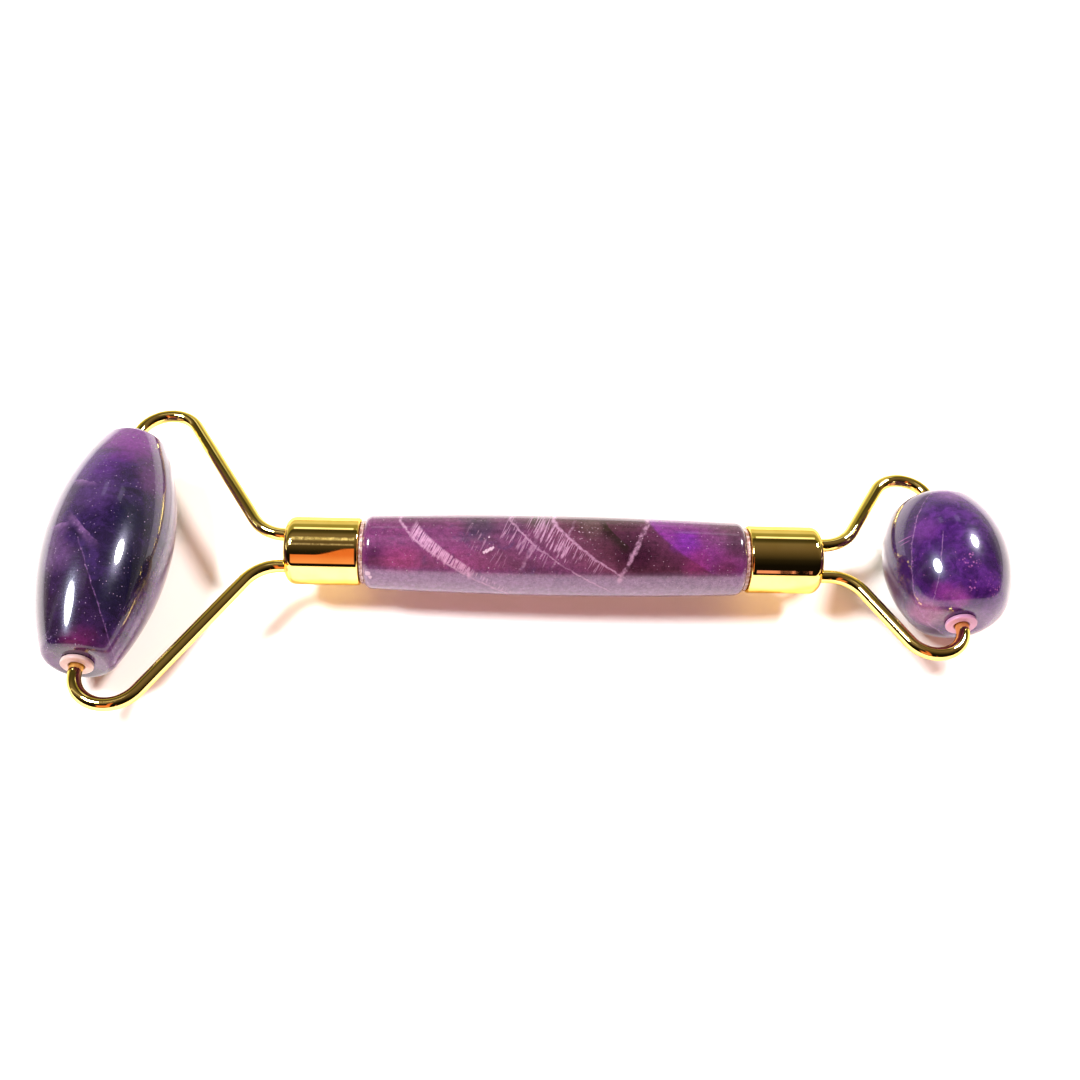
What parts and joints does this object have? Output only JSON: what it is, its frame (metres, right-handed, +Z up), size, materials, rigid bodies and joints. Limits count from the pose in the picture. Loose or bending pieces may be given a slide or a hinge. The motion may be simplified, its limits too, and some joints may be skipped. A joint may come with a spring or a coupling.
{
  "type": "face roller",
  "caption": "Double-ended amethyst face roller: a long and a short barrel stone spin on gold wire forks at the ends of a stone handle.",
  "frame": {"origin": "on the surface the roller lies on, halfway between the two roller axles (bottom centre of the bounding box)", "axes": "+X along the handle towards the short roller, +Y along the roller axles towards the back arms, +Z up"},
  "size_m": [0.1486, 0.0564, 0.019],
  "materials": {
    "handle_amethyst": "polished plum-purple amethyst with pale feathery veils and fracture lines",
    "large_roller_amethyst": "polished deep indigo-violet amethyst with cloudy patches and fine specks",
    "small_roller_amethyst": "polished violet amethyst with a magenta zone and pinkish specks",
    "ferrule_gold": "mirror-polished gold plating with fine turning and handling marks",
    "wire_gold": "polished gold plating on drawn wire",
    "peg_steel": "plain steel, ridged for the glue",
    "cured_glue": "pale, slightly cloudy cured epoxy with an uneven squeezed-out bead",
    "bush_plastic": "white moulded nylon, faintly translucent"
  },
  "bodies": {
    "handle_frame": {"handle_stone": "handle_amethyst", "large_ferrule": "ferrule_gold", "large_peg": "peg_steel", "large_glue": "cured_glue", "small_ferrule": "ferrule_gold", "small_peg": "peg_steel", "small_glue": "cured_glue", "large_arm_front": "wire_gold", "large_arm_back": "wire_gold", "small_arm_front": "wire_gold", "small_arm_back": "wire_gold"},
    "large_roller": {"large_roller_stone": "large_roller_amethyst", "large_bush_front": "bush_plastic", "large_bush_back": "bush_plastic"},
    "small_roller": {"small_roller_stone": "small_roller_amethyst", "small_bush_front": "bush_plastic", "small_bush_back": "bush_plastic"}
  },
  "joints": [
    {"name": "large_roller_spin", "type": "hinge", "parent": "handle_frame", "child": "large_roller", "pos_m": [-0.0648, 0, 0.0095], "axis": [0, 1, 0], "continuous": true},
    {"name": "small_roller_spin", "type": "hinge", "parent": "handle_frame", "child": "small_roller", "pos_m": [0.0648, 0, 0.0095], "axis": [0, 1, 0], "continuous": true}
  ]
}
